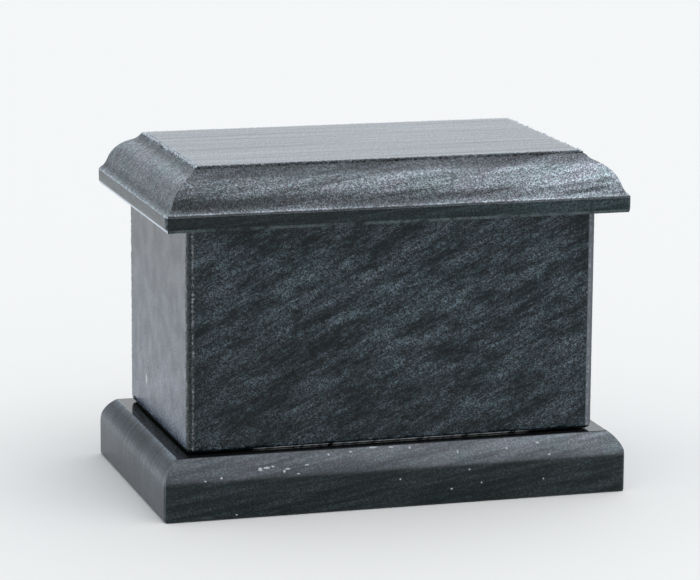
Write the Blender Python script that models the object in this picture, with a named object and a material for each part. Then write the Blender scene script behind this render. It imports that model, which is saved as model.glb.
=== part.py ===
"""A small cremation urn of dark grey marble: a base slab, a hollowed box and a lift-off lid.

Metres, +Z up. The origin is the middle of the underside. The long side runs along X and the
front faces -Y. Each of the three stones is one solid.
"""

import math

import bmesh
import bpy
from mathutils import Vector

# Base slab
BASE_WIDTH = 0.1600
BASE_DEPTH = 0.0980
BASE_THICKNESS = 0.0204
BASE_SIDE_HEIGHT = 0.0119  # of the upright side, below the rounded-over edge
BASE_LEDGE_INSET = 0.0052  # from the upright side to the rim of the flat ledge
BASE_EDGE_TURN = math.radians(48)
BASE_FOOT_ARRIS = 0.0012

# Hollowed box
BOX_WIDTH = 0.1408
BOX_DEPTH = 0.0828
BOX_HEIGHT = 0.0752
BOX_ARRIS = 0.0018
BOX_RIM_ARRIS = 0.0005
WALL_THICKNESS = 0.0100
FLOOR_THICKNESS = 0.0100
HOLLOW_CORNER_RADIUS = 0.0060
HOLLOW_FLOOR_RADIUS = 0.0020

# Lid slab
LID_WIDTH = 0.1590
LID_DEPTH = 0.1012
LID_THICKNESS = 0.0194
LID_BAND_HEIGHT = 0.0051  # of the upright band, with the steep arris below it
LID_FOOT_ARRIS = ((0.0003, 0.0013), (0.0008, 0.0020))  # insets and drops from the band
SHOULDER_ARRIS = (0.0002, 0.0003)
SHOULDER = (0.0016, 0.0014)  # inset and rise of the sloping shoulder above the band
COVE_END = (0.0029, 0.0042)  # where the small cove meets the large round, from the band's top
ROUND_END = (0.0100, 0.0114)  # where the large round meets the upper cove
TOP_INSET = 0.0128
LOWER_COVE_TURN = math.radians(-17)
ROUND_TURN = math.radians(50)
UPPER_COVE_TURN = math.radians(-48)

# Step under the lid, which keeps it in the mouth of the box
STEP_HEIGHT = 0.0030
STEP_CLEARANCE = 0.0010

CORNER_RADIUS = 0.0020  # of the upright corners of the base and of the lid's band
CORNER_FACETS = 3
JOINT_GAP = 0.0003  # between two stones that rest on each other
SMALL = 1e-5
OVERLAP = 0.0020  # how far a cutter or a joined shape runs past the face it meets


def clear_scene():
    for old in list(bpy.data.objects):
        bpy.data.objects.remove(old, do_unlink=True)


def new_collection(name):
    collection = bpy.data.collections.new(name)
    bpy.context.scene.collection.children.link(collection)
    return collection


def marble(name, colour, roughness):
    material = bpy.data.materials.new(name)
    material.use_nodes = True
    shader = material.node_tree.nodes["Principled BSDF"]
    shader.inputs["Base Color"].default_value = (*colour, 1)
    shader.inputs["Roughness"].default_value = roughness
    shader.inputs["Metallic"].default_value = 0
    return material


def block(name, width, depth, bottom, top, collection):
    """A plain block of stone, with its scale applied."""
    bpy.ops.mesh.primitive_cube_add(size=1)
    stone = bpy.context.object
    stone.name = name
    stone.data.name = name
    for vertex in stone.data.vertices:
        vertex.co.x *= width
        vertex.co.y *= depth
        vertex.co.z = top if vertex.co.z > 0 else bottom
    for linked in stone.users_collection:
        linked.objects.unlink(stone)
    collection.objects.link(stone)
    return stone


def arc(start, end, turn, steps):
    """The points after start, to end, of an arc that turns by this angle. Above zero it bulges out."""
    chord = Vector(end) - Vector(start)
    heading = math.atan2(chord.y, chord.x)
    radius = chord.length / (2 * math.sin(turn / 2))
    points = []
    for step in range(1, steps + 1):
        turned = turn * step / steps
        reach = 2 * radius * math.sin(turned / 2)
        angle = heading + (turn - turned) / 2
        points.append((start[0] + reach * math.cos(angle), start[1] + reach * math.sin(angle)))
    return points


def is_upright(edge):
    return abs(edge.verts[0].co.z - edge.verts[1].co.z) > SMALL and all(
        abs(edge.verts[0].co[axis] - edge.verts[1].co[axis]) < SMALL for axis in (0, 1)
    )


def lies_at(edge, height):
    return all(abs(vertex.co.z - height) < SMALL for vertex in edge.verts)


def bevel_edges(stone, wanted, width, segments=1):
    """Bevels the edges for which wanted(edge) is true."""
    mesh = bmesh.new()
    mesh.from_mesh(stone.data)
    edges = [edge for edge in mesh.edges if wanted(edge)]
    bmesh.ops.bevel(mesh, geom=edges, offset=width, segments=segments, profile=0.5, affect="EDGES")
    mesh.to_mesh(stone.data)
    mesh.free()


def mould(stone, end, profile):
    """Carries the top or bottom face in and out through the (inset, height) points of the profile."""
    mesh = bmesh.new()
    mesh.from_mesh(stone.data)
    face = end(mesh.faces, key=lambda face: face.calc_center_median().z)
    inset, height = 0, 0
    for next_inset, next_height in profile:
        bmesh.ops.inset_region(
            mesh,
            faces=[face],
            thickness=next_inset - inset,
            depth=next_height - height,
            use_even_offset=True,
        )
        inset, height = next_inset, next_height
    mesh.to_mesh(stone.data)
    mesh.free()


def round_corners(stone, width, depth):
    """Cuts the four upright corners round, up to where the moulding stands inside the cut."""
    mesh = bmesh.new()
    mesh.from_mesh(stone.data)
    for side_x, side_y in ((-1, -1), (1, -1), (1, 1), (-1, 1)):
        for facet in range(CORNER_FACETS):
            turn = math.radians(90) * (facet + 0.5) / CORNER_FACETS
            outward = Vector((side_x * math.cos(turn), side_y * math.sin(turn), 0))
            middle = Vector((side_x * (width / 2 - CORNER_RADIUS), side_y * (depth / 2 - CORNER_RADIUS), 0))
            cut = bmesh.ops.bisect_plane(
                mesh,
                geom=mesh.verts[:] + mesh.edges[:] + mesh.faces[:],
                dist=SMALL,
                plane_co=middle + CORNER_RADIUS * outward,
                plane_no=outward,
                clear_outer=True,
            )
            rim = [part for part in cut["geom_cut"] if isinstance(part, bmesh.types.BMEdge)]
            bmesh.ops.edgeloop_fill(mesh, edges=rim)
    bmesh.ops.recalc_face_normals(mesh, faces=mesh.faces[:])
    mesh.to_mesh(stone.data)
    mesh.free()


def finish(stone, material):
    """Gives the stone its material, with the mouldings smooth and every arris sharp."""
    stone.data.materials.append(material)
    stone.data.shade_smooth()
    stone.data.set_sharp_from_angle(angle=math.radians(12))


def join_or_cut(stone, other, operation):
    boolean = stone.modifiers.new(operation.title(), "BOOLEAN")
    boolean.operation = operation
    boolean.solver = "EXACT"
    boolean.object = other
    other.hide_render = True
    other.display_type = "WIRE"


def make_base(collection, material):
    base = block("base", BASE_WIDTH, BASE_DEPTH, 0, BASE_SIDE_HEIGHT, collection)
    rise = BASE_THICKNESS - BASE_SIDE_HEIGHT
    bevel_edges(base, lambda edge: lies_at(edge, 0), BASE_FOOT_ARRIS)
    mould(base, max, arc((0, 0), (BASE_LEDGE_INSET, rise), BASE_EDGE_TURN, 10))
    round_corners(base, BASE_WIDTH, BASE_DEPTH)
    finish(base, material)


def make_box(collection, cutters, material):
    bottom = BASE_THICKNESS + JOINT_GAP
    top = bottom + BOX_HEIGHT
    box = block("urn_box", BOX_WIDTH, BOX_DEPTH, bottom, top, collection)
    bevel_edges(box, is_upright, BOX_ARRIS)
    bevel_edges(box, lambda edge: lies_at(edge, bottom), BOX_ARRIS)
    bevel_edges(box, lambda edge: lies_at(edge, top), BOX_RIM_ARRIS)

    width = BOX_WIDTH - 2 * WALL_THICKNESS
    depth = BOX_DEPTH - 2 * WALL_THICKNESS
    floor = bottom + FLOOR_THICKNESS
    hollow = block("hollow_cutter", width, depth, floor, top + OVERLAP, cutters)
    bevel_edges(hollow, is_upright, HOLLOW_CORNER_RADIUS, segments=6)
    bevel_edges(hollow, lambda edge: lies_at(edge, floor), HOLLOW_FLOOR_RADIUS, segments=3)
    join_or_cut(box, hollow, "DIFFERENCE")
    finish(box, material)
    return top


def make_lid(collection, cutters, material, bottom):
    band_top = bottom + LID_BAND_HEIGHT
    band_foot = bottom + LID_FOOT_ARRIS[-1][1]
    lid = block("lid", LID_WIDTH, LID_DEPTH, band_foot, band_top, collection)
    rise = LID_THICKNESS - LID_BAND_HEIGHT
    profile = [SHOULDER_ARRIS, SHOULDER]
    profile += arc(SHOULDER, COVE_END, LOWER_COVE_TURN, 3)
    profile += arc(COVE_END, ROUND_END, ROUND_TURN, 12)
    profile += arc(ROUND_END, (TOP_INSET, rise), UPPER_COVE_TURN, 8)
    mould(lid, min, LID_FOOT_ARRIS)
    mould(lid, max, profile)
    round_corners(lid, LID_WIDTH, LID_DEPTH)

    margin = 2 * (WALL_THICKNESS + STEP_CLEARANCE)
    width = BOX_WIDTH - margin
    depth = BOX_DEPTH - margin
    step = block("lid_step", width, depth, bottom - STEP_HEIGHT, bottom + OVERLAP, cutters)
    bevel_edges(step, is_upright, HOLLOW_CORNER_RADIUS - STEP_CLEARANCE, segments=6)
    join_or_cut(lid, step, "UNION")
    finish(lid, material)


def main():
    clear_scene()
    stones = new_collection("cremation_urn")
    cutters = new_collection("cutters")
    cutters.hide_render = True
    base_marble = marble("base_marble", (0.060, 0.066, 0.072), 0.45)
    box_marble = marble("box_marble", (0.034, 0.042, 0.048), 0.38)
    lid_marble = marble("lid_marble", (0.050, 0.058, 0.066), 0.45)
    make_base(stones, base_marble)
    box_top = make_box(stones, cutters, box_marble)
    make_lid(stones, cutters, lid_marble, box_top + JOINT_GAP)


main()
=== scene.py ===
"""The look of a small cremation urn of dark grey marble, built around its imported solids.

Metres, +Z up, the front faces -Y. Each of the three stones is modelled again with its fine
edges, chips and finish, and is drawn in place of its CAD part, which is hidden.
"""

import math

import bmesh
import bpy
from mathutils import Matrix, Vector


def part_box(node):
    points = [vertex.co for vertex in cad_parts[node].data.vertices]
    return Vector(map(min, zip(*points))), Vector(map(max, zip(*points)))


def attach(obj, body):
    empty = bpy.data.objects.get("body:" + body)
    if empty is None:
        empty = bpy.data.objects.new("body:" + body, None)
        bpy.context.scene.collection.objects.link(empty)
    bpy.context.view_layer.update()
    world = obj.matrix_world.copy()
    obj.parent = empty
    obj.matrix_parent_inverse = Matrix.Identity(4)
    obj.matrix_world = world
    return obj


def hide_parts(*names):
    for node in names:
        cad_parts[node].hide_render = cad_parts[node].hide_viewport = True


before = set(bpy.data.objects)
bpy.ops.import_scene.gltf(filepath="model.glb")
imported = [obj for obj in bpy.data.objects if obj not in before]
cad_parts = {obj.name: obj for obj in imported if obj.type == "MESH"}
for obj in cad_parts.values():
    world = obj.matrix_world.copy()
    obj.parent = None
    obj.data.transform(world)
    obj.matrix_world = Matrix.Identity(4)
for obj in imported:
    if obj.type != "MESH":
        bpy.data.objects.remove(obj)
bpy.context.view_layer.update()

# Sizes read from the frame
BASE_LOW, BASE_HIGH = (Vector(corner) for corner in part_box("base"))
BOX_LOW, BOX_HIGH = (Vector(corner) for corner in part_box("urn_box"))
LID_LOW, LID_HIGH = (Vector(corner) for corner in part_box("lid"))
MM = 0.001

# Base slab
BASE_SIDE_HEIGHT = 11.9 * MM
LEDGE_INSET = 5.2 * MM
BASE_EDGE_ARC = (math.radians(48), 16)  # turn and steps
BASE_FOOT_ARRIS = 1.2 * MM

# Hollowed box
BOX_ARRIS = 1.8 * MM
RIM_ARRIS = 0.5 * MM
WALL_THICKNESS = 10 * MM
FLOOR_THICKNESS = 10 * MM
HOLLOW_CORNER_RADIUS = 6 * MM
HOLLOW_FLOOR_RADIUS = 2 * MM

# Lid slab, with the profile of its edge as insets and rises from the band's top
STEP_HEIGHT = 3 * MM
STEP_CLEARANCE = 1 * MM
LID_BOTTOM = LID_LOW.z + STEP_HEIGHT
BAND_TOP = LID_BOTTOM + 5.1 * MM
LID_FOOT_ARRIS = ((0.15 * MM, 0.7 * MM), (0.4 * MM, 1.4 * MM), (0.8 * MM, 2.0 * MM))  # downwards
SHOULDER_ARRIS = ((0.07 * MM, 0.14 * MM), (0.2 * MM, 0.3 * MM))
SHOULDER_MIDDLE = (0.9 * MM, 0.85 * MM)
SHOULDER = (1.6 * MM, 1.4 * MM)
COVE_END = (2.9 * MM, 4.2 * MM)
ROUND_END = (10.0 * MM, 11.4 * MM)
TOP_INSET = 12.8 * MM
LOWER_COVE_ARC = (math.radians(-17), 5)  # turn and steps
ROUND_ARC = (math.radians(50), 16)
UPPER_COVE_ARC = (math.radians(-48), 9)

CORNER_RADIUS = 2.0 * MM  # upright corners of the base and of the lid's band
RIM_BORDER = 0.9 * MM  # of a flat face, beside its edge, that takes the chips
TOP_BORDER = 1.5 * MM  # the same for the lid's top
TOP_RINGS = 4  # of faces in that border
CHIPPED = 0.95  # of a border takes chips, so that its inner edge stays still
BOX_CHIP = (0.7 * MM, 0.22 * MM)  # size and depth of the chips along the box's arrises
LID_CHIP = (0.85 * MM, 1.6 * MM)  # the same along the lid's top edge
CHIPS_END = 30 * MM  # towards the back, where the lid's chips begin to fade out
CHIPS_FADE = 6 * MM
LESS_AT_BACK = 0.93
TOP_SHARE = 1.2  # over 1, so that the lid's chips are at full depth a little beside the edge too
BELOW_WEIGHT = 0.8  # of the height below the lid's top, in how far a point is from the edge
FINE_STEP = 0.3 * MM  # along the edges that carry the chips
MOST_PIECES = 90  # that an edge is cut into at once
NEAR = 0.01 * MM
FLAT = 0.999  # least share of a face's direction along an axis
SPREAD = 20 * MM  # how far a guide or a cutter reaches beyond the stone
SMOOTH_ANGLE = math.radians(16)
WIDE_FACE = 40  # corners; a face with more is one of the wide flat ones


# Modelling by hand


def deselect():
    bpy.ops.object.select_all(action="DESELECT")


def block(name, low, high):
    """A rough block of stone between two corners."""
    deselect()
    bpy.ops.mesh.primitive_cube_add(size=1, location=(low + high) / 2, scale=high - low)
    bpy.ops.object.transform_apply(location=True, rotation=True, scale=True)
    stone = bpy.context.object
    stone.name = name
    stone.data.name = name
    return stone


def choose(stone):
    deselect()
    stone.select_set(True)
    bpy.context.view_layer.objects.active = stone


def work_on(stone):
    choose(stone)
    bpy.ops.object.mode_set(mode="EDIT")


def leave():
    bpy.ops.object.mode_set(mode="OBJECT")


def pick(kind, wanted):
    """Selects the faces or edges of the stone in edit mode for which wanted(...) is true."""
    bpy.ops.mesh.select_mode(type=kind)
    bpy.ops.mesh.select_all(action="DESELECT")
    stone = bpy.context.object
    mesh = bmesh.from_edit_mesh(stone.data)
    for part in mesh.faces if kind == "FACE" else mesh.edges:
        if wanted(part):
            part.select_set(True)
    mesh.select_flush_mode()
    bmesh.update_edit_mesh(stone.data)


def level(edge, height):
    return all(abs(vertex.co.z - height) < NEAR for vertex in edge.verts)


def upright(edge):
    run = edge.verts[0].co - edge.verts[1].co
    return abs(run.z) > NEAR and abs(run.x) < NEAR and abs(run.y) < NEAR


def flat_at(face, height):
    return all(abs(vertex.co.z - height) < NEAR for vertex in face.verts)


def along(edge, axis):
    """Whether this edge runs along an axis, 0 for X, 1 for Y or 2 for Z."""
    run = edge.verts[0].co - edge.verts[1].co
    return abs(run[axis]) > 0.9 * run.length


def round_off(width, segments=1):
    bpy.ops.mesh.bevel(offset=width, segments=segments, profile=0.5, affect="EDGES")


def arc(start, end, turn, steps):
    """The points after start, to end, of an arc that turns by this angle. Above zero it bulges out."""
    chord = Vector(end) - Vector(start)
    heading = math.atan2(chord.y, chord.x)
    radius = chord.length / (2 * math.sin(turn / 2))
    points = []
    for step in range(1, steps + 1):
        turned = turn * step / steps
        reach = 2 * radius * math.sin(turned / 2)
        angle = heading + (turn - turned) / 2
        points.append((start[0] + reach * math.cos(angle), start[1] + reach * math.sin(angle)))
    return points


def carry(profile):
    """Carries the picked face in and out through the (inset, rise) points of the profile."""
    inset, rise = 0, 0
    for next_inset, next_rise in profile:
        bpy.ops.mesh.inset(thickness=next_inset - inset, depth=next_rise - rise)
        inset, rise = next_inset, next_rise


def cut_fine(axes):
    """Cuts the long edges that run along these axes into fine steps."""
    for axis in axes:
        stone = bpy.context.object
        mesh = bmesh.from_edit_mesh(stone.data)
        longest = max(edge.calc_length() for edge in mesh.edges if along(edge, axis))
        pieces = round(longest / FINE_STEP)
        short = longest / 2
        while pieces > 1:
            now = min(pieces, MOST_PIECES)
            pick("EDGE", lambda edge: along(edge, axis) and edge.calc_length() > short)
            bpy.ops.mesh.subdivide(number_cuts=now - 1)
            pieces = round(pieces / now)
            short = short / now


def open_at(height):
    """Takes out the flat face at this height, so that it isn't cut with its edges."""
    pick("FACE", lambda face: flat_at(face, height))
    bpy.ops.mesh.delete(type="ONLY_FACE")


def cut_and_close(axes):
    """Cuts the long edges, fills the openings with one face each, and leaves the mesh."""
    cut_fine(axes)
    bpy.ops.mesh.select_all(action="SELECT")
    bpy.ops.mesh.fill_holes(sides=0)
    leave()


def round_corners(stone, low, high):
    """Draws the upright corners in to a round, up to where the moulding stands inside it."""
    reach = Vector((0, 0, SPREAD))
    guide = block("corner_guide", low - reach, high + reach)
    work_on(guide)
    pick("EDGE", upright)
    round_off(CORNER_RADIUS, segments=12)
    leave()
    draw_in = stone.modifiers.new("round_corners", "SHRINKWRAP")
    draw_in.target = guide
    draw_in.wrap_method = "NEAREST_SURFACEPOINT"
    draw_in.wrap_mode = "INSIDE"
    apply(stone, draw_in)
    bpy.data.objects.remove(guide)


def apply(stone, modifier):
    choose(stone)
    bpy.ops.object.modifier_apply(modifier=modifier.name)


def rounded_block(name, low, high, corner_radius, floor_radius=0):
    """A block with round upright corners, and round edges below where they have a radius."""
    piece = block(name, low, high)
    work_on(piece)
    pick("EDGE", upright)
    round_off(corner_radius, segments=8)
    if floor_radius:
        pick("EDGE", lambda edge: level(edge, low.z))
        round_off(floor_radius, segments=4)
    leave()
    return piece


def join(stone, other, operation):
    """Adds the other piece to the stone, or cuts it out."""
    joined = stone.modifiers.new("join", "BOOLEAN")
    joined.operation = operation
    joined.solver = "EXACT"
    joined.object = other
    apply(stone, joined)
    bpy.data.objects.remove(other)


def chip(stone, name, near_edge, size, depth):
    """Small chips and pits along an edge. near_edge gives how far each point takes them, 0 to 1."""
    group = stone.vertex_groups.new(name=name)
    for vertex in stone.data.vertices:
        share = near_edge(vertex.co)
        if share > 0:
            group.add([vertex.index], min(share, 1), "REPLACE")
    texture = bpy.data.textures.new(name, "CLOUDS")
    texture.noise_scale = size
    texture.noise_depth = 2
    texture.noise_basis = "ORIGINAL_PERLIN"
    texture.contrast = 4.0
    texture.use_clamp = True
    worn = stone.modifiers.new(name, "DISPLACE")
    worn.texture = texture
    worn.texture_coords = "LOCAL"
    worn.vertex_group = name
    worn.mid_level = 0.0
    worn.strength = -depth
    apply(stone, worn)


def smooth(stone):
    """Smooth mouldings between crisp arrises. The wide flat faces keep one even direction."""
    choose(stone)
    bpy.ops.object.shade_smooth_by_angle(angle=SMOOTH_ANGLE)
    bpy.ops.object.mode_set(mode="EDIT")
    pick("FACE", lambda face: len(face.verts) > WIDE_FACE)
    bpy.ops.mesh.faces_shade_flat()
    leave()


def model_base():
    """The base slab: a round foot arris, a rounded-over edge and a flat ledge."""
    side_low = Vector((BASE_LOW.x, BASE_LOW.y, 0))
    base = block("base_stone", side_low, Vector((BASE_HIGH.x, BASE_HIGH.y, BASE_SIDE_HEIGHT)))
    work_on(base)
    pick("EDGE", lambda edge: level(edge, 0))
    round_off(BASE_FOOT_ARRIS, segments=3)
    pick("FACE", lambda face: flat_at(face, BASE_SIDE_HEIGHT))
    rise = BASE_HIGH.z - BASE_SIDE_HEIGHT
    carry(arc((0, 0), (LEDGE_INSET, rise), *BASE_EDGE_ARC))
    bpy.ops.mesh.inset(thickness=RIM_BORDER)
    bpy.ops.mesh.delete(type="ONLY_FACE")
    open_at(0)
    cut_and_close((0, 1))
    round_corners(base, BASE_LOW, BASE_HIGH)
    return base


def model_box():
    """The hollowed box, with round upright and lower arrises and a fine one at the rim."""
    box = block("box_stone", BOX_LOW, BOX_HIGH)
    work_on(box)
    pick("EDGE", upright)
    round_off(BOX_ARRIS, segments=2)
    pick("EDGE", lambda edge: level(edge, BOX_LOW.z))
    round_off(BOX_ARRIS, segments=2)
    pick("EDGE", lambda edge: level(edge, BOX_HIGH.z))
    round_off(RIM_ARRIS)
    pick("FACE", lambda face: max(abs(face.normal.x), abs(face.normal.y), face.normal.z) > FLAT)
    bpy.ops.mesh.inset(thickness=RIM_BORDER, use_individual=True)
    bpy.ops.mesh.delete(type="ONLY_FACE")
    open_at(BOX_LOW.z)
    cut_and_close((0, 1, 2))
    wall = Vector((WALL_THICKNESS, WALL_THICKNESS, 0))
    low = BOX_LOW + wall + Vector((0, 0, FLOOR_THICKNESS))
    high = BOX_HIGH - wall + Vector((0, 0, SPREAD))
    hollow = rounded_block("hollow", low, high, HOLLOW_CORNER_RADIUS, HOLLOW_FLOOR_RADIUS)
    join(box, hollow, "DIFFERENCE")

    def near_arris(place):
        if place.z < BOX_LOW.z + NEAR:
            return 0
        sides = (
            BOX_HIGH.x - abs(place.x),
            BOX_HIGH.y - abs(place.y),
            min(place.z - BOX_LOW.z, BOX_HIGH.z - place.z + BOX_ARRIS - RIM_ARRIS),
        )
        return 1 - abs(sum(sorted(sides)[:2]) - BOX_ARRIS) / (CHIPPED * RIM_BORDER)

    chip(box, "arris_chips", near_arris, *BOX_CHIP)
    return box


def model_lid():
    """The lid: a band, a moulding carried up to the flat top, and the step that keeps it in place."""
    band_foot = LID_BOTTOM + LID_FOOT_ARRIS[-1][1]
    low = Vector((LID_LOW.x, LID_LOW.y, band_foot))
    lid = block("lid_stone", low, Vector((LID_HIGH.x, LID_HIGH.y, BAND_TOP)))
    work_on(lid)
    pick("FACE", lambda face: flat_at(face, band_foot))
    carry(LID_FOOT_ARRIS)
    profile = [*SHOULDER_ARRIS, SHOULDER_MIDDLE, SHOULDER]
    profile += arc(SHOULDER, COVE_END, *LOWER_COVE_ARC)
    profile += arc(COVE_END, ROUND_END, *ROUND_ARC)
    profile += arc(ROUND_END, (TOP_INSET, LID_HIGH.z - BAND_TOP), *UPPER_COVE_ARC)
    pick("FACE", lambda face: flat_at(face, BAND_TOP))
    carry(profile)
    for _ in range(TOP_RINGS):
        bpy.ops.mesh.inset(thickness=TOP_BORDER / TOP_RINGS)
    bpy.ops.mesh.delete(type="ONLY_FACE")
    open_at(LID_BOTTOM)
    cut_and_close((0, 1))
    round_corners(lid, LID_LOW, LID_HIGH)
    clear = WALL_THICKNESS + STEP_CLEARANCE
    step_high = Vector((BOX_HIGH.x - clear, BOX_HIGH.y - clear, LID_BOTTOM + STEP_HEIGHT))
    step_low = Vector((-step_high.x, -step_high.y, LID_LOW.z))
    step = rounded_block("step", step_low, step_high, HOLLOW_CORNER_RADIUS - STEP_CLEARANCE)
    join(lid, step, "UNION")

    def near_top_edge(place):
        inset = min(LID_HIGH.x - abs(place.x), LID_HIGH.y - abs(place.y))
        away = abs(inset - TOP_INSET) + BELOW_WEIGHT * (LID_HIGH.z - place.z)
        at_back = min(max((place.y - CHIPS_END) / CHIPS_FADE, 0), 1)
        share = TOP_SHARE - TOP_SHARE * away / (CHIPPED * TOP_BORDER)
        return share * (1 - LESS_AT_BACK * at_back)

    chip(lid, "top_edge_chips", near_top_edge, *LID_CHIP)
    return lid


# Shader maths


class Value:
    """A number that changes from place to place. Python maths on it adds the Math nodes."""

    def __init__(self, nodes, socket):
        self.nodes = nodes
        self.socket = socket

    def math(self, operation, *numbers):
        node = self.nodes.add("ShaderNodeMath", {"operation": operation}, dict(enumerate(numbers)))
        return Value(self.nodes, node.outputs[0])

    def __add__(self, other):
        return self.math("ADD", self, other)

    def __sub__(self, other):
        return self.math("SUBTRACT", self, other)

    def __rsub__(self, other):
        return self.math("SUBTRACT", other, self)

    def __mul__(self, other):
        return self.math("MULTIPLY", self, other)

    def __abs__(self):
        return self.math("ABSOLUTE", self)

    __radd__ = __add__
    __rmul__ = __mul__

    def least(self, other):
        return self.math("MINIMUM", self, other)

    def most(self, other):
        return self.math("MAXIMUM", self, other)


class Nodes:
    """The nodes of a material or of the room."""

    def __init__(self, tree):
        self.tree = tree

    def add(self, kind, settings=None, inputs=None):
        """A node, with its settings made first and then the values or links of its sockets."""
        node = self.tree.nodes.new(kind)
        for name, setting in (settings or {}).items():
            setattr(node, name, setting)
        for name, given in (inputs or {}).items():
            self.feed(node.inputs[name], given)
        return node

    def feed(self, socket, given):
        given = getattr(given, "socket", given)
        if isinstance(given, bpy.types.NodeSocket):
            self.tree.links.new(given, socket)
        else:
            socket.default_value = given

    def ramp(self, value, low, high, soft=True, first=0, last=1):
        """Runs from first at low to last at high."""
        kind = "SMOOTHSTEP" if soft else "LINEAR"
        inputs = {0: value, 1: low, 2: high, 3: first, 4: last}
        return Value(self, self.add("ShaderNodeMapRange", {"interpolation_type": kind}, inputs).outputs[0])

    def vector_math(self, operation, inputs):
        return self.add("ShaderNodeVectorMath", {"operation": operation}, inputs).outputs


class Finish(Nodes):
    """A material, with the few nodes that the stones' patterns need."""

    def __init__(self, name, ior):
        self.material = bpy.data.materials.new(name)
        self.material.use_nodes = True
        super().__init__(self.material.node_tree)
        self.shader = self.tree.nodes["Principled BSDF"]
        self.set("IOR", ior)
        self.place = self.add("ShaderNodeTexCoord").outputs["Object"]
        axes = self.add("ShaderNodeSeparateXYZ", {}, {0: self.place})
        self.x, self.y, self.z = (Value(self, output) for output in axes.outputs)

    def set(self, name, given):
        """Gives a socket of the shader its value or link."""
        self.feed(self.shader.inputs[name], given)

    def measured(self, size, turn=(0, 0, 0)):
        """Places counted in these millimetres, along axes that are turned by these degrees."""
        inputs = {
            "Vector": self.place,
            "Rotation": [math.radians(angle) for angle in turn],
            "Scale": [part * MM for part in size],
        }
        return self.add("ShaderNodeMapping", {"vector_type": "TEXTURE"}, inputs).outputs[0]

    def wavy(self, place, amount):
        """The same places, pushed about by a soft noise."""
        push = self.add("ShaderNodeTexNoise", {}, {"Vector": place, "Scale": 0.6, "Detail": 2}).outputs[1]
        push = self.vector_math("SUBTRACT", {0: push, 1: (0.5, 0.5, 0.5)})[0]
        return self.vector_math("MULTIPLY_ADD", {0: push, 1: (amount, amount, amount), 2: place})[0]

    def noise(self, size, detail, roughness, turn=(0, 0, 0), wave=0):
        """Noise with features of this size in millimetres, along turned axes and through waves."""
        place = self.measured(size, turn)
        if wave:
            place = self.wavy(place, wave)
        inputs = {"Vector": place, "Scale": 1, "Detail": detail, "Roughness": roughness}
        return Value(self, self.add("ShaderNodeTexNoise", {}, inputs).outputs[0])

    def crystals(self, size):
        """A number from 0 to 1 for each crystal of the marble, of this size in millimetres."""
        inputs = {"Vector": self.measured((size, size, size)), "Scale": 1}
        cells = self.add("ShaderNodeTexVoronoi", {"feature": "F1"}, inputs)
        return Value(self, self.add("ShaderNodeSeparateColor", {}, {0: cells.outputs[1]}).outputs[0])

    def curve(self, value, stops):
        """A number that runs through these (place from 0 to 1, level) stops."""
        node = self.add("ShaderNodeValToRGB", {}, {0: value})
        ramp = node.color_ramp
        ramp.elements[0].position, first = stops[0]
        ramp.elements[0].color = (first, first, first, 1)
        ramp.elements[1].position, last = stops[-1]
        ramp.elements[1].color = (last, last, last, 1)
        for place, level in stops[1:-1]:
            ramp.elements.new(place).color = (level, level, level, 1)
        return Value(self, node.outputs[0])

    def inset(self, high):
        """How far a point stands inside the outline that has this corner."""
        return (high.x - abs(self.x)).least(high.y - abs(self.y))

    def ends(self, high):
        """1 on the moulding of the two ends and 0 on that of the long sides, split at the mitres."""
        inset_difference = (high.y - abs(self.y)) - (high.x - abs(self.x))
        return self.ramp(inset_difference, -0.05 * MM, 0.05 * MM, False)

    def oval(self, across, half_width, up, half_height):
        """0 in the middle of an oval and 1 on its outline, with its half sizes in millimetres."""
        across = across * (1 / (half_width * MM))
        up = up * (1 / (half_height * MM))
        return across * across + up * up

    def blend(self, amount, first, second):
        """A number between two numbers."""
        return first + (second - first) * amount

    def mix(self, amount, first, second):
        """A colour between two colours."""
        return self.add("ShaderNodeMix", {"data_type": "RGBA"}, {0: amount, 6: first, 7: second}).outputs[2]

    def shade(self, colour, amount):
        """A colour made lighter or darker by a factor."""
        return self.vector_math("SCALE", {0: colour, "Scale": amount})[0]

    def roughen(self, where, depth):
        """Fine unevenness of this depth, as far as the mask says."""
        height = self.noise((0.5, 0.5, 0.5), 2, 0.6) * where
        bump = self.add("ShaderNodeBump", {}, {"Height": height, "Distance": depth})
        self.set("Normal", bump.outputs[0])


# What the finishes share

STONE_IOR = 1.3
ENDLESS = 9000  # millimetres, for noise that doesn't change along an axis
TINTS = (0.92, 1.02, 0.99, 1), (1.05, 0.98, 1.02, 1)  # greenish and violet
PALE_LINE_REACH = 50 * MM, 42 * MM  # from the middle: where the line ends, and where it is full


def slate(level, blue=0.8):
    """A cool grey of this lightness."""
    return (level * (1 - 0.22 * blue), level * (1 - 0.04 * blue), level * (1 + 0.16 * blue), 1)


def hue(finish, colour):
    """Turns the grey slightly towards green or violet, slowly over the stone and from grain to grain."""
    drift = finish.noise((15, 9, 7), 3, 0.6, turn=(20, -30, 10)) * 0.7 + finish.crystals(0.5) * 0.3
    tint = finish.mix(finish.ramp(drift, 0.36, 0.64), *TINTS)
    return finish.vector_math("MULTIPLY", {0: colour, 1: tint})[0]


def speckled(grain, contrast):
    """How much lighter or darker than the stone each of its crystals is."""
    return (1 - contrast) + 3 * contrast * grain * grain


def pale_joint_line(finish, from_middle, edge, core):
    """The pale line along the joint of the long sides, which fades from core to edge and breaks off."""
    broken = finish.ramp(finish.noise((4, ENDLESS, ENDLESS), 4, 0.7), 0.38, 0.55)
    return finish.ramp(abs(from_middle), edge, core) * broken * finish.ramp(abs(finish.x), *PALE_LINE_REACH)


# The box's finish

STREAK_TURN = (12, -29, 28)
FINE_STREAK_TURN = (12, -33, 28)

# A pale spot on the left end, as its y, height, half width and half height in millimetres
PALE_SPOT = (17, 33.3, 1.7, 2.4)
PALE_SPOT_COLOUR = slate(0.7, 0.2)
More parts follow.
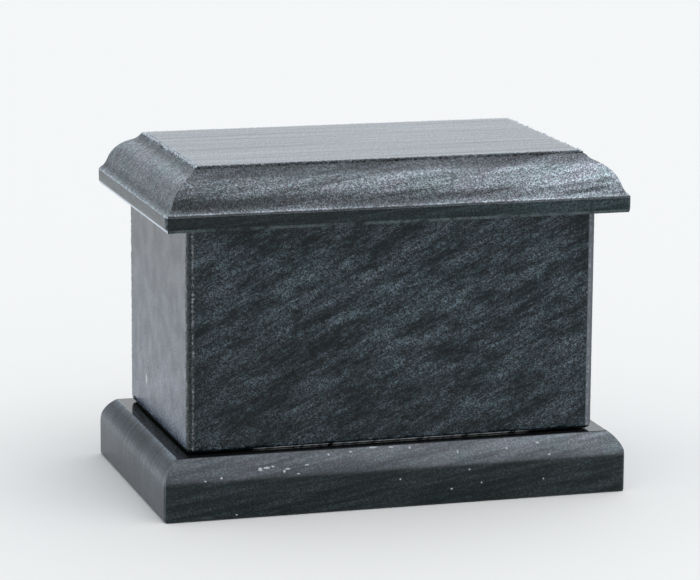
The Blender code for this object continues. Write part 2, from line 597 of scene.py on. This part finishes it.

# The darkest and the lightest stone of the parts, and what lies over it, with painted sheen, highlights and
# shade among them
BOX_FACE_COLOURS = (0.003, 0.009, 0.011, 1), (0.064, 0.085, 0.1, 1)
BOX_END_STONE_AND_SHEEN_COLOURS = (0.026, 0.04, 0.064, 1), (0.048, 0.07, 0.105, 1)
LEFT_ARRIS_COLOURS = (0.002, 0.004, 0.005, 1), (0.05, 0.065, 0.07, 1)
RIGHT_ARRIS_HIGHLIGHT_COLOUR = slate(0.16, 0.6)
BRUISE_COLOUR = slate(0.28, 0.4)
PALE_LINE_COLOUR = slate(0.4, 0.2)


def box_face(finish, grain):
    """Slanting streaks, and fine dark threads among them."""
    band = finish.noise((32, 9, 6), 3, 0.5, STREAK_TURN, wave=1.1)
    thread = finish.noise((28, 8, 2.2), 4, 0.6, STREAK_TURN, wave=1.5)
    fine = finish.noise((7, 2, 0.8), 3, 0.6, FINE_STREAK_TURN)
    tone = finish.ramp(band * 0.45 + thread * 0.32 + fine * 0.33, 0.42, 0.73)
    colour = hue(finish, finish.mix(tone, *BOX_FACE_COLOURS))
    dark_thread = finish.ramp(abs(thread - 0.47), 0.0, 0.025)
    low_left = finish.ramp(finish.z * 2 + finish.x, 160 * MM, 20 * MM)
    return finish.shade(colour, speckled(grain, 0.78) * (0.5 + 0.5 * dark_thread) * (1.05 - 0.4 * low_left))


def box_end(finish, grain, cloud):
    """The cloudy stone of the ends, made lighter and bluer by a painted sheen, and lighter below by a
    painted reflection.
    """
    along_end = finish.noise((5, 3, 9), 4, 0.65, turn=(4, 0, 0))
    tone = finish.ramp(along_end + cloud, 0.8, 1.2)
    # The ends' stone with a painted sheen, lighter and bluer than the front
    colour = finish.mix(tone, *BOX_END_STONE_AND_SHEEN_COLOURS)
    # Painted reflection: the ends grow lighter towards the bottom
    lower = finish.ramp(finish.z, BOX_HIGH.z, BOX_LOW.z)
    return finish.shade(colour, speckled(grain, 0.7) * (0.6 + 1.2 * lower))


def with_arrises(finish, grain, on_right, colour):
    """Over the colour, a dark line on the left upright arrises, a painted highlight on the right ones, and
    the bruises beside them.
    """
    in_x = BOX_HIGH.x - abs(finish.x)
    in_y = BOX_HIGH.y - abs(finish.y)
    on_arris = finish.ramp(in_x + in_y, BOX_ARRIS + 0.9 * MM, BOX_ARRIS + 0.6 * MM)
    arris_stone_and_highlight = finish.mix(grain * grain, *LEFT_ARRIS_COLOURS)
    # Painted highlight on the right arrises, where they catch the light
    arris_stone_and_highlight = finish.mix(on_right, arris_stone_and_highlight, RIGHT_ARRIS_HIGHLIGHT_COLOUR)
    colour = finish.mix(on_arris * 0.8, colour, arris_stone_and_highlight)
    from_edge = (abs(in_x - BOX_ARRIS) + in_y).least(abs(in_y - BOX_ARRIS) + in_x)
    meander = finish.noise((3, 3, 0.8), 3, 0.7)
    from_edge = from_edge + (meander - 0.5) * (2.4 * MM)
    worn = finish.noise((1.6, 1.6, 2.2), 4, 0.75)
    bruise = finish.ramp(from_edge, 0.6 * MM, 0.2 * MM) * finish.ramp(worn, 0.4, 0.62)
    return finish.mix(bruise * 0.8, colour, BRUISE_COLOUR)


def with_joint(finish, colour):
    """Over the colour, a painted highlight on the foot of the box, painted shade in the joint below it, and
    the pale line in that.
    """
    # Painted highlight on the foot arris, and painted shade in the joint under it
    foot_highlight = finish.ramp(finish.z, BOX_LOW.z + 2.4 * MM, BOX_LOW.z + 1.8 * MM)
    joint_shade = finish.ramp(finish.z, BOX_LOW.z + 1.4 * MM, BOX_LOW.z + 1.1 * MM)
    colour = finish.shade(colour, 1 + 0.5 * foot_highlight - 1.3 * joint_shade)
    pale_line = pale_joint_line(finish, finish.z - BOX_LOW.z - 0.6 * MM, 0.3 * MM, 0.15 * MM)
    return finish.mix(pale_line, colour, PALE_LINE_COLOUR)


def box_finish():
    """Slanting streaks on a polished ground, and at the ends a softly shining grain, made lighter by a
    painted sheen.
    """
    finish = Finish("box_marble_finish", STONE_IOR)
    grain = finish.crystals(0.34)
    cloud = finish.noise((9, 9, 9), 3, 0.6)
    at_end = finish.ramp(BOX_HIGH.x - abs(finish.x), 0.3 * MM, 0.02 * MM)
    on_right = finish.ramp(finish.x, -1 * MM, 1 * MM)
    colour = finish.mix(at_end, box_face(finish, grain), box_end(finish, grain, cloud))
    colour = with_arrises(finish, grain, on_right, colour)
    y, height, half_width, half_height = PALE_SPOT
    spot = finish.oval(finish.y - y * MM, half_width, finish.z - height * MM, half_height)
    spot = finish.ramp(spot + grain, 1.6, 0.2) * (1 - on_right)
    colour = finish.mix(spot * 0.85, colour, PALE_SPOT_COLOUR)
    finish.set("Base Color", with_joint(finish, colour))
    finish.set("Roughness", 0.13 + grain * (0.1 + 0.12 * at_end))
    mottled = 0.22 * finish.ramp(cloud, 0.35, 0.65) + 0.22 * grain
    finish.set("Coat Weight", at_end * mottled)
    finish.set("Coat Roughness", 0.22)
    finish.roughen(at_end, 0.03 * MM)
    return finish.material


# The lid's finish

# Painted light and shade over the moulding, with a painted highlight on the band's upper arris, as
# (millimetres above the band, level): at the left and the right of the long sides, and at the ends
MOULDING_SHADING_LEFT = (
    (0, 0.27), (0.4, 0.4), (0.7, 3.2), (1.0, 1.2), (1.6, 0.65), (2.4, 0.3), (4.2, 0.28), (5.3, 0.6),
    (7.3, 1.25), (9.0, 1.2), (10.5, 1.2), (10.9, 0.7), (11.9, 0.75), (13.6, 0.5), (14.3, 0.7),
)
MOULDING_SHADING_RIGHT = (
    (0, 0.46), (0.4, 0.8), (0.7, 4.0), (1.0, 3.4), (1.6, 2.7), (2.4, 2.3), (3.2, 2.3), (4.2, 2.9),
    (5.3, 3.6), (7.6, 4.0), (9.3, 4.0), (10.4, 4.0), (10.9, 2.6), (11.9, 1.7), (13.6, 1.0), (14.3, 0.9),
)
MOULDING_SHADING_END = (
    (0, 4.0), (0.35, 3.4), (0.7, 2.2), (1.4, 1.4), (2.3, 1.4), (4.2, 1.9), (6.3, 1.85), (8.2, 2.0),
    (9.7, 2.5), (10.9, 2.5), (11.5, 1.9), (11.9, 1.7), (12.6, 1.45), (13.4, 1.7), (13.9, 4.0), (14.3, 4.0),
)
LIGHTEST = 4

# Long dark veins in the moulding, in millimetres, as (x of the middle, height above the band, half
# length, half thickness)
VEINS = (
    (-30, 7.9, 20, 0.45),
    (-24, 9.6, 12, 0.3),
    (-60, 7.2, 14, 0.25),
    (2, 4.4, 16, 0.25),
    (32, 3.7, 13, 0.45),
    (64, 2.9, 12, 0.4),
)
VEIN_SLOPE = 0.12

# The darkest and the lightest stone of the parts, and of the painted reflections at their edges
MOULDING_COLOURS = slate(0.07, 0.6), slate(0.15, 0.6)
BAND_COLOURS = (0.004, 0.009, 0.01, 1), (0.016, 0.025, 0.028, 1)
BAND_END_COLOURS = (0.03, 0.042, 0.052, 1), (0.065, 0.085, 0.1, 1)
BAND_FOOT_REFLECTION_COLOUR = (0.09, 0.12, 0.125, 1)
BAND_END_FOOT_REFLECTION_COLOUR = slate(0.7)
TOP_COLOURS = (0.042, 0.065, 0.092, 1), (0.093, 0.126, 0.17, 1)
TOP_RIM_SHEEN_COLOUR = slate(0.9, 0.4)


def moulding_curve(finish, levels):
    """The painted light and shade over the rise of the moulding, as a share of the lightest level."""
    rise = finish.ramp(finish.z, BAND_TOP, LID_HIGH.z, False)
    full_rise = LID_HIGH.z - BAND_TOP
    return finish.curve(rise, [(height * MM / full_rise, level / LIGHTEST) for height, level in levels])


def dark_veins(finish):
    """The long dark veins, which waver and fade out at their ends."""
    waver = finish.noise((9, 9, 3), 4, 0.65)
    mask = 0.0 * waver
    for x, height, length, thickness in VEINS:
        along = finish.x - x * MM
        middle = BAND_TOP + height * MM + VEIN_SLOPE * along + (waver - 0.5) * (2.2 * MM)
        apart = finish.ramp(abs(finish.z - middle), 2 * thickness * MM, 0.4 * thickness * MM)
        mask = mask.most(apart * finish.ramp(abs(along), length * MM, 0.4 * length * MM))
    return mask


def lid_moulding(finish, grain, tone, at_end, painted_light_to_right):
    """Honed stone with painted light and shade, painted lighter to the right, with dark veins and with
    wheel marks at the ends.
    """
    left = moulding_curve(finish, MOULDING_SHADING_LEFT)
    right = moulding_curve(finish, MOULDING_SHADING_RIGHT)
    end = moulding_curve(finish, MOULDING_SHADING_END)
    long_side = finish.blend(painted_light_to_right * (0.46 + 0.54 * painted_light_to_right), left, right)
    # Painted light and shade over the profile, at the left and the right of the long sides and at the ends
    painted_shading = finish.blend(at_end, long_side, end) * LIGHTEST
    wheel_marks = finish.ramp(finish.noise((9, 0.6, 9), 3, 0.6), 0.3, 0.7)
    tone = finish.blend(at_end, tone, wheel_marks)
    colour = hue(finish, finish.mix(tone, *MOULDING_COLOURS))
    veined = 1 - 0.42 * dark_veins(finish) * (1 - at_end)
    return finish.shade(colour, painted_shading * veined * speckled(grain, 0.62))


def lid_band(finish, grain, tone, at_end, painted_light_to_right):
    """The dark band, greyer at the ends and painted lighter to the right, with a painted reflection that
    breaks off along its foot.
    """
    long_side = hue(finish, finish.mix(tone, *BAND_COLOURS))
    # Painted light: the long sides grow lighter towards the right
    long_side = finish.shade(long_side, speckled(grain, 0.6) * (0.7 + 1.3 * painted_light_to_right))
    end = finish.mix(tone, *BAND_END_COLOURS)
    end = finish.shade(end, speckled(grain, 0.8))
    colour = finish.mix(at_end, long_side, end)
    # Painted reflection of the floor along the foot, in broken dashes on the long sides
    broken = finish.blend(grain, 0.3, 1) * finish.ramp(finish.noise((6, 6, ENDLESS), 4, 0.7), 0.35, 0.6)
    foot = finish.ramp(finish.z, LID_BOTTOM + 1.2 * MM, LID_BOTTOM + 0.9 * MM) * broken.most(at_end)
    return finish.mix(foot, colour, finish.mix(at_end, BAND_FOOT_REFLECTION_COLOUR, BAND_END_FOOT_REFLECTION_COLOUR))


def lid_top(finish, grain, line, at_end, from_rim):
    """The top, with saw lines along it, and a grainy painted reflection along its rim."""
    colour = finish.mix(line, *TOP_COLOURS)
    fine_grain = finish.noise((0.55, 2.2, ENDLESS), 1, 0.5)
    colour = finish.shade(colour, finish.ramp(fine_grain, 0.3, 0.7, False) * 2)
    # Painted reflection of the bright room along the rim, broken up by the grain
    rim = finish.ramp(from_rim, 2.2 * MM, 0.3 * MM) * finish.blend(at_end, 0.8, 1)
    return finish.mix(rim * (0.3 + 0.7 * grain), colour, TOP_RIM_SHEEN_COLOUR)


def lid_finish():
    """Honed, grainy moulding with painted light and shade that makes its rounds lighter, with a smoother
    top and band.
    """
    finish = Finish("lid_marble_finish", STONE_IOR)
    grain = finish.crystals(0.31)
    tone = finish.ramp(finish.noise((42, 10, 2), 5, 0.62, (8, -7, 5), wave=1), 0.34, 0.68)
    line = finish.ramp(finish.noise((120, 2.6, ENDLESS), 3, 0.7, turn=(0, 0, 0.6)), 0.3, 0.7)
    # Painted light, growing towards the right of the lid
    painted_light_to_right = finish.ramp(finish.x, LID_LOW.x, LID_HIGH.x, False)
    at_end = finish.ends(LID_HIGH)
    from_rim = finish.inset(LID_HIGH) - TOP_INSET
    ragged = (finish.noise((0.6, 0.6, 0.6), 2, 0.6) - 0.5) * (0.5 * MM)
    ragged = ragged * finish.ramp(from_rim, 1.4 * MM, 0.4 * MM)
    below_top = finish.ramp(LID_HIGH.z - finish.z - at_end * (0.25 * MM) + ragged, 0.08 * MM, 0.16 * MM)
    above_band = finish.ramp(finish.z, BAND_TOP - 0.1 * MM, BAND_TOP + 0.1 * MM)
    honed = above_band * below_top
    on_top = above_band * (1 - below_top)
    on_band_end = at_end * (1 - above_band)

    band = lid_band(finish, grain, tone, at_end, painted_light_to_right)
    top = lid_top(finish, grain, line, at_end, from_rim)
    moulding = lid_moulding(finish, grain, tone, at_end, painted_light_to_right)
    finish.set("Base Color", finish.mix(honed, finish.mix(above_band, band, top), moulding))
    roughness = 0.12 + 0.1 * on_top * (1 - line) + honed * 0.34
    finish.set("Roughness", roughness + grain * (0.05 + 0.4 * on_band_end))
    finish.set("Coat Weight", on_band_end * grain * grain * 0.4)
    finish.set("Coat Roughness", 0.25)
    finish.roughen(honed.most(0.5 * on_band_end), 0.06 * MM)
    return finish.material


# The base's finish

# Painted light and shade over the rounded edge, as (share of its rise, level): at the left and the
# right of the long sides, and at the ends
EDGE_SHADING_LEFT = ((0, 0.25), (0.15, 0.6), (0.4, 0.8), (0.7, 0.77), (0.85, 0.85), (0.95, 1.1), (1, 1.0))
EDGE_SHADING_RIGHT = ((0, 0.15), (0.15, 0.48), (0.4, 0.65), (0.7, 0.88), (0.95, 1.0), (1, 0.9))
EDGE_SHADING_END = (
    (0, 0.36), (0.1, 0.52), (0.3, 0.54), (0.45, 0.43), (0.6, 0.4), (0.8, 0.35), (0.9, 0.5), (0.97, 0.8),
    (1, 1),
)
EDGE_LIGHTEST = 2  # for the right and the end, whose levels are shares of it

# The darkest and the lightest stone of the parts, and what lies over it
EDGE_COLOURS = slate(0.08, 0.6), slate(0.14, 0.6)
EDGE_END_COLOURS = slate(0.098, 0.9), slate(0.117, 0.9)
SIDE_COLOURS = (0.005, 0.011, 0.012, 1), (0.022, 0.032, 0.035, 1)
LEDGE_COLOUR = slate(0.009, 0.6)
LEDGE_PALE_LINE_COLOUR = (0.8, 0.8, 0.8, 1)
FLECK_COLOUR = (0.5, 0.53, 0.56, 1)

# White flecks on the front of the base, in millimetres, as (x, height, half length, half height)
FLECKS = (
    (-66.3, 13.4, 0.4, 0.25), (-60.8, 14.1, 0.45, 0.4), (-47.5, 16.0, 0.7, 0.6), (-45.3, 16.3, 1.2, 0.35),
    (-43.2, 16.6, 0.6, 0.3), (-39.5, 14.9, 0.5, 0.5), (-38.2, 15.6, 0.9, 0.25), (-34.8, 13.9, 0.6, 0.2),
    (-31.5, 16.4, 0.8, 0.2), (-23.7, 18.9, 0.5, 0.3), (-16.0, 19.3, 0.6, 0.25), (-8.1, 20.0, 1.6, 0.25),
    (-1.9, 19.8, 0.9, 0.2), (4.5, 19.3, 0.5, 0.3), (20.7, 17.3, 0.4, 0.4), (38.0, 17.3, 0.4, 0.3),
    (49.2, 18.4, 0.7, 0.3), (52.8, 14.6, 0.4, 0.3), (-55.9, 1.6, 0.4, 0.25), (0.2, 9.7, 0.3, 0.4),
    (18.1, 5.2, 0.35, 0.35), (24.3, 11.5, 0.3, 0.3), (28.6, 6.7, 0.3, 0.3), (50.5, 6.5, 0.3, 0.3),
)


def fleck_mask(finish):
    """The white flecks on the front, each a small ragged oval."""
    ragged = finish.noise((0.5, 0.5, 0.5), 2, 0.6)
    front = finish.ramp(finish.y, 0, -1 * MM)
    mask = 0.0 * front
    for x, height, length, tall in FLECKS:
        apart = finish.oval(finish.x - x * MM, length, finish.z - height * MM, tall)
        mask = mask.most(finish.ramp(apart + (ragged - 0.5) * 2.5, 1.2, 0.4))
    return mask * front


def grinding_marks(finish):
    """The upright marks on the ends: soft ones, clouds, and light scratches mainly near the front."""
    ground = finish.ramp(finish.noise((ENDLESS, 0.9, 30), 4, 0.65), 0.3, 0.7)
    cloud = finish.noise((20, 14, 14), 3, 0.6)
    near_corner = finish.ramp(abs(finish.y), 6 * MM, 32 * MM) * finish.ramp(finish.z, 5 * MM, 16 * MM)
    near_front = finish.ramp(finish.y, -10 * MM, -35 * MM)
    scratch = finish.ramp(finish.noise((ENDLESS, 0.45, 12), 2, 0.6), 0.62, 0.75) * (0.15 + near_front)
    return ground * 0.8 + cloud * 0.6 + 0.17 + 0.28 * near_corner + scratch


def base_edge(finish, grain, tone, at_end):
    """The honed, rounded edge, with painted light and shade, and the marks of grinding at the ends."""
    # Painted light, growing towards the right of the base
    painted_light_to_right = finish.ramp(finish.x, BASE_LOW.x, BASE_HIGH.x, False)
    rise = finish.ramp(finish.z, BASE_SIDE_HEIGHT, BASE_HIGH.z, False)
    left = finish.curve(rise, EDGE_SHADING_LEFT)
    right = finish.curve(rise, EDGE_SHADING_RIGHT) * EDGE_LIGHTEST
    end = finish.curve(rise, EDGE_SHADING_END) * EDGE_LIGHTEST
    # Painted light and shade over the rise of the edge, at the left, the right and the ends
    painted_shading = finish.blend(at_end, finish.blend(painted_light_to_right, left, right), end)
    long_side = hue(finish, finish.mix(tone, *EDGE_COLOURS))
    colour = finish.mix(at_end, long_side, finish.mix(tone, *EDGE_END_COLOURS))
    marks = finish.blend(at_end, 1, grinding_marks(finish))
    return finish.shade(colour, painted_shading * marks * speckled(grain, 0.26))


def base_finish():
    """A honed, rounded edge between a darker polished side and a nearly black polished ledge."""
    finish = Finish("base_marble_finish", STONE_IOR)
    grain = finish.crystals(0.36)
    tone = finish.ramp(finish.noise((26, 6, 1.6), 5, 0.62, (5, -8, 3), wave=0.7), 0.34, 0.68)
    at_end = finish.ends(BASE_HIGH)
    above_side = finish.ramp(finish.z, BASE_SIDE_HEIGHT + 0.3 * MM, BASE_SIDE_HEIGHT + 2.0 * MM)
    above_side = above_side.most(at_end)
    from_rim = finish.inset(BASE_HIGH) - LEDGE_INSET
    outside_rim = finish.ramp(from_rim - at_end * (0.5 * MM), 0.0, -0.5 * MM)
    below_rim = finish.ramp(finish.z, BASE_HIGH.z - 0.1 * MM, BASE_HIGH.z - 0.3 * MM)
    honed = above_side * outside_rim.most(below_rim)

    side = finish.mix(tone, *SIDE_COLOURS)
    side = finish.shade(side, speckled(grain, 0.5))
    pale_line = pale_joint_line(finish, BOX_HIGH.y - abs(finish.y) - 2.0 * MM, 0.8 * MM, 0.5 * MM)
    ledge = finish.mix(pale_line, LEDGE_COLOUR, LEDGE_PALE_LINE_COLOUR)
    colour = finish.mix(honed, finish.mix(above_side, side, ledge), base_edge(finish, grain, tone, at_end))
    colour = finish.mix(fleck_mask(finish) * 0.85, colour, FLECK_COLOUR)
    finish.set("Base Color", colour)
    finish.set("Roughness", 0.1 + honed * finish.blend(at_end, 0.3, 0.22))
    finish.roughen(honed, 0.02 * MM)
    return finish.material


# Floor, light and camera

FLOOR_SIZE = 16  # metres
FLOOR_COLOUR = (0.885, 0.885, 0.885, 1)

# Light of the room, as (direction, start and end of the change along it, strength at these two)
ROOM_LIGHT = (
    ((1, 0, 0), -0.7, 0.7, 0.82, 0.98),
    ((0.45, 0.87, 0.18), 0.75, 0.94, 0.0, 0.28),
    ((-0.42, 0.88, 0.25), 0.84, 0.97, 0.0, -0.5),
)
ROOM_COLOUR = (0.95, 0.98, 1.0, 1)
KEY_LIGHT_PLACE = Vector((0.18, -0.34, 0.92))
KEY_LIGHT_COLOUR = (1.0, 0.97, 0.96)
KEY_LIGHT_STRENGTH = 0.6
KEY_LIGHT_WIDTH = math.radians(50)

# The photo's view, worked out from the perspective of its edges
CAMERA_PLACE = Vector((-0.3293, -1.0890, 0.2955))
CAMERA_TURN, CAMERA_TILT, CAMERA_LEAN = (math.radians(angle) for angle in (16.68, 11.50, 0.38))
PHOTO_WIDTH = 700  # pixels
FOCAL_LENGTH = 3399  # pixels of the photo
SENSOR_WIDTH = 36  # millimetres


def pale_floor():
    deselect()
    bpy.ops.mesh.primitive_plane_add(size=FLOOR_SIZE)
    floor = bpy.context.object
    floor.name = "floor"
    finish = Finish("floor_finish", 1.05)
    finish.set("Roughness", 0.9)
    finish.set("Base Color", FLOOR_COLOUR)
    floor.data.materials.append(finish.material)


def soft_room():
    """A pale room, lighter to the right, and brightest low behind the urn, where its lid mirrors it."""
    world = bpy.data.worlds.new("soft_room")
    world.use_nodes = True
    room = Nodes(world.node_tree)
    place = room.add("ShaderNodeTexCoord").outputs["Generated"]
    strengths = []
    for direction, start, end, first, last in ROOM_LIGHT:
        inputs = {0: place, 1: Vector(direction).normalized()}
        towards = room.vector_math("DOT_PRODUCT", inputs)["Value"]
        strengths.append(room.ramp(towards, start, end, first=first, last=last))
    background = room.tree.nodes["Background"]
    room.feed(background.inputs["Strength"], sum(strengths))
    room.feed(background.inputs["Color"], ROOM_COLOUR)
    bpy.context.scene.world = world


def key_light():
    """A wide soft light, high on the right and a little in front."""
    sun = bpy.data.lights.new("key_light", "SUN")
    sun.energy = KEY_LIGHT_STRENGTH
    sun.angle = KEY_LIGHT_WIDTH
    sun.color = KEY_LIGHT_COLOUR
    lamp = bpy.data.objects.new("key_light", sun)
    lamp.location = KEY_LIGHT_PLACE
    lamp.rotation_euler = (-KEY_LIGHT_PLACE).to_track_quat("-Z", "Y").to_euler()
    bpy.context.collection.objects.link(lamp)


def set_camera():
    """A camera at the photo's place that turns right, tilts down and leans as the photo's did."""
    flat = math.cos(CAMERA_TILT)
    ahead = Vector((math.sin(CAMERA_TURN) * flat, math.cos(CAMERA_TURN) * flat, -math.sin(CAMERA_TILT)))
    right = Vector((math.cos(CAMERA_TURN), -math.sin(CAMERA_TURN), 0))
    up = right.cross(ahead)
    leaning_right = math.cos(CAMERA_LEAN) * right + math.sin(CAMERA_LEAN) * up
    leaning_up = math.cos(CAMERA_LEAN) * up - math.sin(CAMERA_LEAN) * right
    data = bpy.data.cameras.new("camera")
    data.sensor_width = SENSOR_WIDTH
    data.lens = SENSOR_WIDTH * FOCAL_LENGTH / PHOTO_WIDTH
    data.clip_start = 0.01
    camera = bpy.data.objects.new("camera", data)
    axes = Matrix((leaning_right, leaning_up, -ahead)).transposed()
    camera.matrix_world = Matrix.Translation(CAMERA_PLACE) @ axes.to_4x4()
    bpy.context.collection.objects.link(camera)
    bpy.context.scene.camera = camera


set_camera()
soft_room()
key_light()
pale_floor()
bpy.context.scene.view_settings.view_transform = "Standard"

for build, finish, node, slot in (
    (model_base, base_finish, "base", "base_marble"),
    (model_box, box_finish, "urn_box", "box_marble"),
    (model_lid, lid_finish, "lid", "lid_marble"),
):
    stone = build()
    smooth(stone)
    stone.data.materials.append(finish())
    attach(stone, "root")
    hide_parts(node)
